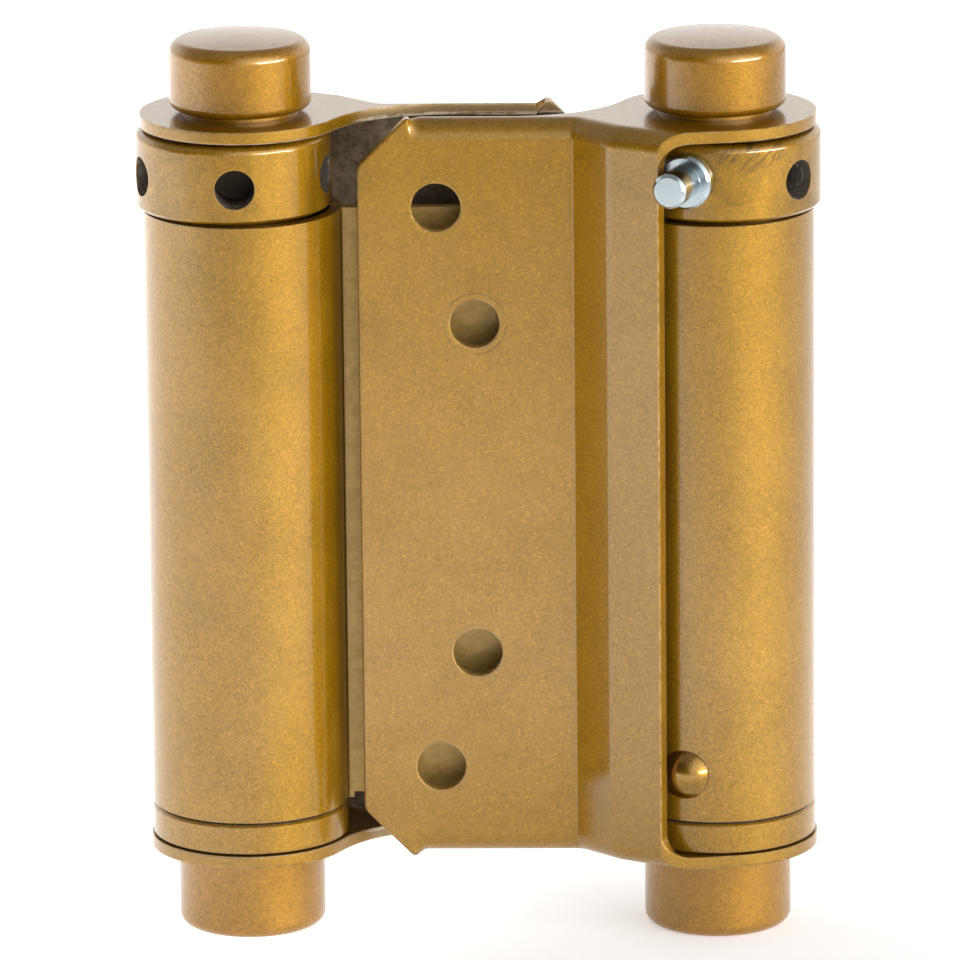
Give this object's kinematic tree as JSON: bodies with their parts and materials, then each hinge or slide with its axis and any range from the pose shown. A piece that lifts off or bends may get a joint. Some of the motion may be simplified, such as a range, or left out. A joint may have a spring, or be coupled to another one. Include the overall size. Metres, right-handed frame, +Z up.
{
  "type": "double action hinge",
  "caption": "Double action spring hinge with stamped screw leaves on sprung barrels joined by a flat web, capped spindles and pinned tension collars.",
  "frame": {"origin": "midway between the spindle axes, level with the undersides of the lower caps", "axes": "+Z up along the spindles, +X from the frame side to the door side, +Y away from the face with the door leaf's plate"},
  "size_m": [0.068, 0.0296, 0.0914],
  "materials": {
    "gold_paint": "semi-gloss gold-bronze metallic paint with fine flake",
    "spring_steel": "plain drawn steel, lightly oiled",
    "zinc": "bright zinc plating"
  },
  "bodies": {
    "frame_side": {"frame_leaf": "gold_paint", "frame_spindle": "spring_steel", "frame_top_cap": "gold_paint", "frame_bottom_cap": "gold_paint"},
    "web": {"centre_web": "gold_paint", "frame_bottom_plug": "gold_paint", "frame_plug_rivet": "gold_paint", "frame_torsion_spring": "spring_steel", "door_bottom_plug": "gold_paint", "door_plug_rivet": "gold_paint", "door_torsion_spring": "spring_steel"},
    "door_side": {"door_leaf": "gold_paint", "door_spindle": "spring_steel", "door_top_cap": "gold_paint", "door_bottom_cap": "gold_paint"},
    "frame_collar": {"frame_tension_collar": "gold_paint", "frame_tension_pin": "zinc"},
    "door_collar": {"door_tension_collar": "gold_paint", "door_tension_pin": "zinc"}
  },
  "joints": [
    {"name": "frame_swing", "type": "hinge", "parent": "frame_side", "child": "web", "pos_m": [-0.0235, 0, 0], "axis": [0, 0, -1], "range_deg": [0, 120], "stiffness_Nm_per_rad": 0.26, "springref_deg": -72, "deforming": ["frame_torsion_spring"]},
    {"name": "door_swing", "type": "hinge", "parent": "web", "child": "door_side", "pos_m": [0.0235, 0, 0], "axis": [0, 0, 1], "range_deg": [0, 120], "stiffness_Nm_per_rad": 0.26, "springref_deg": -72, "deforming": ["door_torsion_spring"]},
    {"name": "frame_collar_wind", "type": "hinge", "parent": "frame_side", "child": "frame_collar", "pos_m": [-0.0235, 0, 0], "axis": [0, 0, 1], "range_deg": [0, 72], "stiffness_Nm_per_rad": 0.03, "springref_deg": -20.05, "deforming": ["frame_torsion_spring"]},
    {"name": "door_collar_wind", "type": "hinge", "parent": "door_side", "child": "door_collar", "pos_m": [0.0235, 0, 0], "axis": [0, 0, 1], "range_deg": [0, 72], "stiffness_Nm_per_rad": 0.03, "springref_deg": -20.05, "deforming": ["door_torsion_spring"]}
  ]
}
